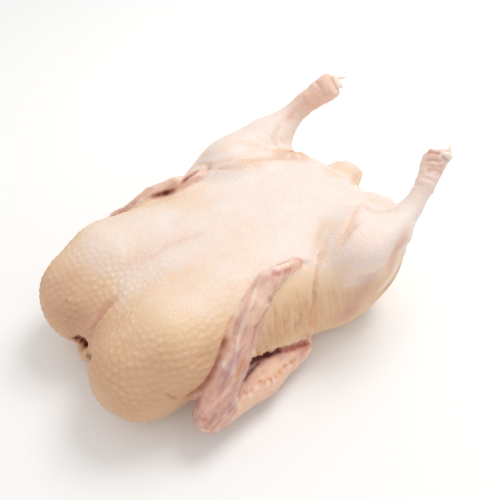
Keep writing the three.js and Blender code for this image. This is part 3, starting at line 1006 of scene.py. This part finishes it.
# %% Fat under the skin
THIGH_MIDDLE = np.array((70, -65, 62)) - CAD_SHIFT
THIGH_SPREAD = 42
KEEL_SPREAD = 28
CLOUDS = [(34, 6), (12, 3.5)]  # size and depth of the clouds, in millimetres
STEEP = 10  # a place that faces sideways counts as this much lower
HIGHER = np.array((24, 16, 5, 12, -6))  # for thigh, rear, keel, tail and the near side of the front
CREAM_HEIGHTS = (104, 80)
TAN_HEIGHTS = (88, 60)
LEAST_CREAM = 0.08
front = smooth(-points[:, 0], 0, 90)
rear = smooth(points[:, 0], 55, 105)
off_thigh = np.hypot(np.abs(points[:, 1]) + THIGH_MIDDLE[1], points[:, 0] - THIGH_MIDDLE[0])
on_thigh = np.exp(-((off_thigh / THIGH_SPREAD) ** 2))
on_tail = 1 - smooth(distance_to(TAIL, points)[0], 18, 34)
on_keel = np.exp(-((points[:, 1] / KEEL_SPREAD) ** 2)) * front
cloud = np.array([sum(noise.noise(Vector(p) / size) * deep for size, deep in CLOUDS) for p in points])
near_side = front * smooth(-points[:, 1], 0, 35)
height = points[:, 2] - STEEP * (1 - facing_up) + cloud
height += HIGHER @ np.array([on_thigh, rear, on_keel, on_tail, near_side])
# The tint that takes cream and tan away marks thin fat, and also painted light: a highlight on the near
# lobe's cheek and bounce light in the cleft's shade.
cream_and_tan_kept = 1 - np.clip(tint.pop("bare"), 0, 1)
creamy = LEAST_CREAM + (1 - LEAST_CREAM) * smooth(height, *CREAM_HEIGHTS)
tint["cream"] = np.maximum(tint["cream"], creamy) * cream_and_tan_kept
# Less tan low down by the table: painted bounce light from the floor.
tan_under_painted_bounce = 0.6 + 0.4 * smooth(points[:, 2], 12, 52)
tint["tan"] = smooth(height, *TAN_HEIGHTS) * (0.5 + 0.5 * front) * tan_under_painted_bounce * cream_and_tan_kept
print("cream on", round(100 * float((tint["cream"] > 0.5).mean())), "% of the points")

# %% The finished skin
skin = new_object("duck_skin", skin_mesh)
for polygon in skin_mesh.polygons:
    polygon.use_smooth = True
for name, values in tint.items():
    attribute = skin_mesh.attributes.new(name, "FLOAT", "POINT")
    attribute.data.foreach_set("value", np.clip(values, 0, 1).astype(np.float32))
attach(skin, "root")
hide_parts("duck")
print(len(skin_mesh.attributes), "attributes on the skin")

# %% [markdown]
# ## The skin's material
# Duck skin is pinkish white where the fat under it is thin and lit, and cream to tan where it is thick.
# Light enters it, spreads and comes out redder, so the material uses subsurface scattering with a red
# that travels furthest. The tints painted above choose between the skin's colours.

# %% Colours of raw skin
SKIN_COLOURS = {
    "cream": (0.87, 0.63, 0.42),
    "tan": (0.705, 0.443, 0.273),
    "blush": (0.86, 0.555, 0.425),
    "mauve": (0.55, 0.29, 0.26),
    "peach": (0.80, 0.42, 0.19),
    "pale": (0.94, 0.85, 0.76),
    "red": (0.60, 0.15, 0.10),
    # the darkest tone is raw meat, darkened further as painted shade in gaps, nicks and the neck's pit
    "flesh": (0.11, 0.010, 0.008),
}
WHITE_SKIN = (0.88, 0.775, 0.735, 1)
print(len(SKIN_COLOURS), "tints over white skin")

# %% A grain that skin and gristle share
GRAIN_INPUTS = {"Grain Scale": 900.0, "Pebble Scale": 330.0, "Patch Scale": 60.0, "Dry": 0.55, "Wet": 0.38}
GRAIN_OUTPUTS = ("Relief", "Roughness", "Patches")
FLOAT = "NodeSocketFloat"
PEBBLE_DEPTH = -0.9
PATCH_RANGE = {"From Min": 0.3, "From Max": 0.7}


def node(tree, kind, **values):
    """One shader node, with the values of its inputs or its own settings."""
    made = tree.nodes.new(kind)
    for name, value in values.items():
        if name in made.inputs:
            made.inputs[name].default_value = value
        else:
            setattr(made, name, value)
    return made


def moist_grain():
    """A group that gives the fine relief and the wet and dry patches of meat, skin and gristle."""
    group = bpy.data.node_groups.new("moist_grain", "ShaderNodeTree")
    for name, default in GRAIN_INPUTS.items():
        socket = group.interface.new_socket(name, in_out="INPUT", socket_type=FLOAT)
        socket.default_value = default
    for name in GRAIN_OUTPUTS:
        group.interface.new_socket(name, in_out="OUTPUT", socket_type=FLOAT)
    join = group.links.new
    given = group.nodes.new("NodeGroupInput")
    out = group.nodes.new("NodeGroupOutput")
    place = node(group, "ShaderNodeTexCoord").outputs["Object"]
    cells = node(group, "ShaderNodeTexVoronoi", feature="SMOOTH_F1", Smoothness=0.6)
    patches = node(group, "ShaderNodeTexNoise", Detail=3.0, Roughness=0.6)
    fine = node(group, "ShaderNodeTexNoise", Detail=4.0, Roughness=0.65)
    pebbles = node(group, "ShaderNodeTexVoronoi", feature="SMOOTH_F1", Smoothness=0.8, Randomness=0.8)
    relief = node(group, "ShaderNodeMath", operation="ADD")
    both = node(group, "ShaderNodeMath", operation="MULTIPLY_ADD")
    both.inputs[1].default_value = PEBBLE_DEPTH
    rough = node(group, "ShaderNodeMapRange", **PATCH_RANGE)
    scales = {"Grain Scale": (cells, fine), "Pebble Scale": (pebbles,), "Patch Scale": (patches,)}
    for scale, textures in scales.items():
        for texture in textures:
            join(place, texture.inputs["Vector"])
            join(given.outputs[scale], texture.inputs["Scale"])
    join(cells.outputs["Distance"], relief.inputs[0])
    join(fine.outputs["Fac"], relief.inputs[1])
    join(patches.outputs["Fac"], rough.inputs["Value"])
    join(given.outputs["Wet"], rough.inputs["To Min"])
    join(given.outputs["Dry"], rough.inputs["To Max"])
    join(pebbles.outputs["Distance"], both.inputs[0])
    join(relief.outputs[0], both.inputs[2])
    join(both.outputs[0], out.inputs["Relief"])
    join(rough.outputs["Result"], out.inputs["Roughness"])
    join(patches.outputs["Fac"], out.inputs["Patches"])
    return group


GRAIN = moist_grain()
print("the grain has", len(GRAIN.nodes), "nodes")

# %% Wet relief and blended colours


def moist(material, bump, **values):
    """Puts the grain group in a material, with its relief and roughness joined to the shader."""
    tree = material.node_tree
    shader = tree.nodes["Principled BSDF"]
    grain = tree.nodes.new("ShaderNodeGroup")
    grain.node_tree = GRAIN
    for name, value in values.items():
        grain.inputs[name.replace("_", " ")].default_value = value
    relief = node(tree, "ShaderNodeBump", Strength=1.0, Distance=bump)
    tree.links.new(grain.outputs["Relief"], relief.inputs["Height"])
    tree.links.new(relief.outputs["Normal"], shader.inputs["Normal"])
    tree.links.new(grain.outputs["Roughness"], shader.inputs["Roughness"])
    return grain


def blend(tree, first, second, amount, kind="MIX"):
    """Mixes two colours by an amount; a colour may be a socket or a plain tone."""
    mix = node(tree, "ShaderNodeMix", data_type="RGBA", blend_type=kind)
    for number, value in ((0, amount), (6, first), (7, second)):
        if isinstance(value, bpy.types.NodeSocket):
            tree.links.new(value, mix.inputs[number])
        else:
            mix.inputs[number].default_value = value
    return mix.outputs[2]


print("ready to mix")

# %% The skin's material
# the colour that the pimple tint multiplies in: the tan between pimples, and painted shade below each mound
PIMPLE_TONE_AND_SHADE = (0.87, 0.775, 0.68, 1)
MOTTLE = (0.93, 0.86, 0.80, 1)
MOTTLE_RANGE = {"From Min": 0.35, "From Max": 0.7, "To Max": 0.35}
SKIN_RELIEF = 0.0003
SKIN_LOOK = {"Subsurface Weight": 0.18, "Subsurface Radius": (1, 0.35, 0.2), "Subsurface Scale": 0.0015}
skin_material = new_material("raw_skin", SKIN_LOOK)
tree = skin_material.node_tree
shader = tree.nodes["Principled BSDF"]
grain = moist(skin_material, SKIN_RELIEF, Grain_Scale=700.0, Patch_Scale=55.0, Dry=0.56, Wet=0.4)
colour = WHITE_SKIN
for name, tone in SKIN_COLOURS.items():
    amount = node(tree, "ShaderNodeAttribute", attribute_name=name)
    colour = blend(tree, colour, (*tone, 1), amount.outputs["Fac"])
between = node(tree, "ShaderNodeAttribute", attribute_name="pimples")
colour = blend(tree, colour, PIMPLE_TONE_AND_SHADE, between.outputs["Fac"], "MULTIPLY")
mottle = node(tree, "ShaderNodeMapRange", **MOTTLE_RANGE)
tree.links.new(grain.outputs["Patches"], mottle.inputs["Value"])
colour = blend(tree, colour, MOTTLE, mottle.outputs["Result"], "MULTIPLY")
tree.links.new(colour, shader.inputs["Base Color"])
skin_mesh.materials.append(skin_material)
print("the skin's material has", len(tree.nodes), "nodes")

# %% [markdown]
# ## Gristle and bone at the cut legs
# Where the feet were cut off, ivory gristle and a tendon stand out of the skin. They are small lumps that
# run into each other. So each is built of rods of small balls, and a voxel remesh melts them together.

# %% Rods that melt together
LEG_ENDS = {  # rods with a pixel and a radius at each end
    "near_hock_tendon": [((449.6, 156, 2.0), (449.6, 150, 1.5)), ((449.6, 150, 1.5), (450.3, 144.6, 0.5))],
    "near_hock_gristle": [
        ((444, 154, 1.7), (447.5, 154.8, 2.3)),
        ((447.5, 154.8, 2.3), (450.5, 157.5, 2.0)),
    ],
    "far_hock_bone": [
        ((334, 78, 3.2), (337.5, 85, 3.4)),
        ((338, 77.8, 2.2), (345.8, 77, 0.8)),
        ((339.5, 83.5, 2.2), (341.5, 86.5, 1.6)),
    ],
}
STROKE_STEPS = 9
BALL_STEPS = 2
MELT = 0.4
GRISTLE_CALM = 4


def on_skin_plane(x, y, anchor):
    """The place that a pixel shows at the depth of a given place."""
    facing = CAMERA_TURN @ Vector((0, 0, -1))
    way = ray(x, y)
    return CAMERA_PLACE + way * ((anchor - CAMERA_PLACE).dot(facing) / way.dot(facing))


def melted_strokes(name, strokes):
    """A mesh of tapering rods that run into each other; each end is a pixel and a radius."""
    anchor = Vector(seen(*strokes[0][0][:2])[0])
    form = bmesh.new()
    for start, end in strokes:
        for share in np.linspace(0, 1, STROKE_STEPS):
            x, y, radius = np.array(start) * (1 - share) + np.array(end) * share
            made = bmesh.ops.create_icosphere(form, subdivisions=BALL_STEPS, radius=radius * MM)
            bmesh.ops.translate(form, verts=made["verts"], vec=on_skin_plane(x, y, anchor) * MM)
    rods = into_mesh(form, bpy.data.meshes.new(name))
    melted = with_modifier(rods, "REMESH", mode="VOXEL", voxel_size=MELT * MM)
    form = bmesh.new()
    form.from_mesh(melted)
    calm(form, GRISTLE_CALM)
    into_mesh(form, melted)
    for polygon in melted.polygons:
        polygon.use_smooth = True
    return melted


print(len(LEG_ENDS), "ends to make")

# %% Gristle and bone at the cut legs
GRISTLE_RELIEF = 0.0001
GRISTLE_LOOK = {
    "Base Color": (0.9, 0.79, 0.69, 1),
    "Subsurface Weight": 0.3,
    "Subsurface Radius": (1, 0.6, 0.4),
    "Subsurface Scale": 0.002,
}
gristle_material = new_material("gristle", GRISTLE_LOOK)
moist(gristle_material, GRISTLE_RELIEF, Grain_Scale=500.0, Patch_Scale=200.0, Dry=0.5, Wet=0.28)
for name, strokes in LEG_ENDS.items():
    mesh = melted_strokes(name, strokes)
    mesh.materials.append(gristle_material)
    piece = new_object(name, mesh)
    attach(piece, "root")
    print(name, len(mesh.polygons), "faces")
